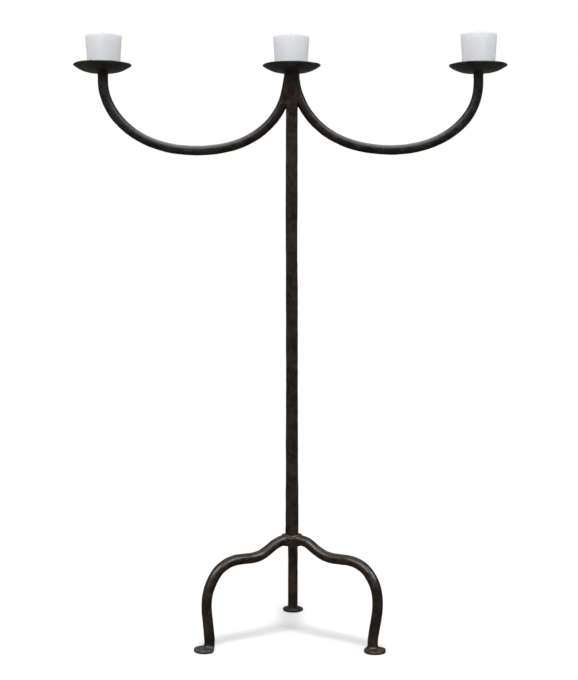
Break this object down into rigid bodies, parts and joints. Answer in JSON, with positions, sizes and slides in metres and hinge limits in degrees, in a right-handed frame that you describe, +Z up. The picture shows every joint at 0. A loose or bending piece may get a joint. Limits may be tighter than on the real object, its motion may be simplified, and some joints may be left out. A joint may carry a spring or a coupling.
{
  "type": "candelabrum",
  "caption": "Forged iron floor candelabrum: square stem on a tripod of arched legs, with swept arms and dished pans that hold tapered pillar candles.",
  "frame": {"origin": "on the floor, at the middle of the overall bounding box seen from above", "axes": "+Z up along the stem, +X along the arms towards the right-hand candle, -Y the front, between the two front legs"},
  "size_m": [0.8178, 0.3252, 1.1588],
  "materials": {
    "iron": "forged black-brown, hammered and waxed, satin",
    "pan_iron": "forged sheet, near black, satin",
    "wax": "smooth white candle wax, softly translucent",
    "wick": "braided unburnt cotton"
  },
  "bodies": {
    "stand": {"stem": "iron", "arm_left": "iron", "arm_right": "iron", "leg_left": "iron", "leg_right": "iron", "leg_rear": "iron", "pan_left": "pan_iron", "pan_center": "pan_iron", "pan_right": "pan_iron", "pricket_left": "pan_iron", "pricket_center": "pan_iron", "pricket_right": "pan_iron"},
    "candle_left": {"candle_left": "wax", "wick_left": "wick"},
    "candle_center": {"candle_center": "wax", "wick_center": "wick"},
    "candle_right": {"candle_right": "wax", "wick_right": "wick"}
  },
  "joints": [
    {"name": "candle_left_lift", "type": "slide", "parent": "stand", "child": "candle_left", "axis": [0, 0, 1], "range_m": [0, 0.08]},
    {"name": "candle_center_lift", "type": "slide", "parent": "stand", "child": "candle_center", "axis": [0, 0, 1], "range_m": [0, 0.08]},
    {"name": "candle_right_lift", "type": "slide", "parent": "stand", "child": "candle_right", "axis": [0, 0, 1], "range_m": [0, 0.08]}
  ]
}
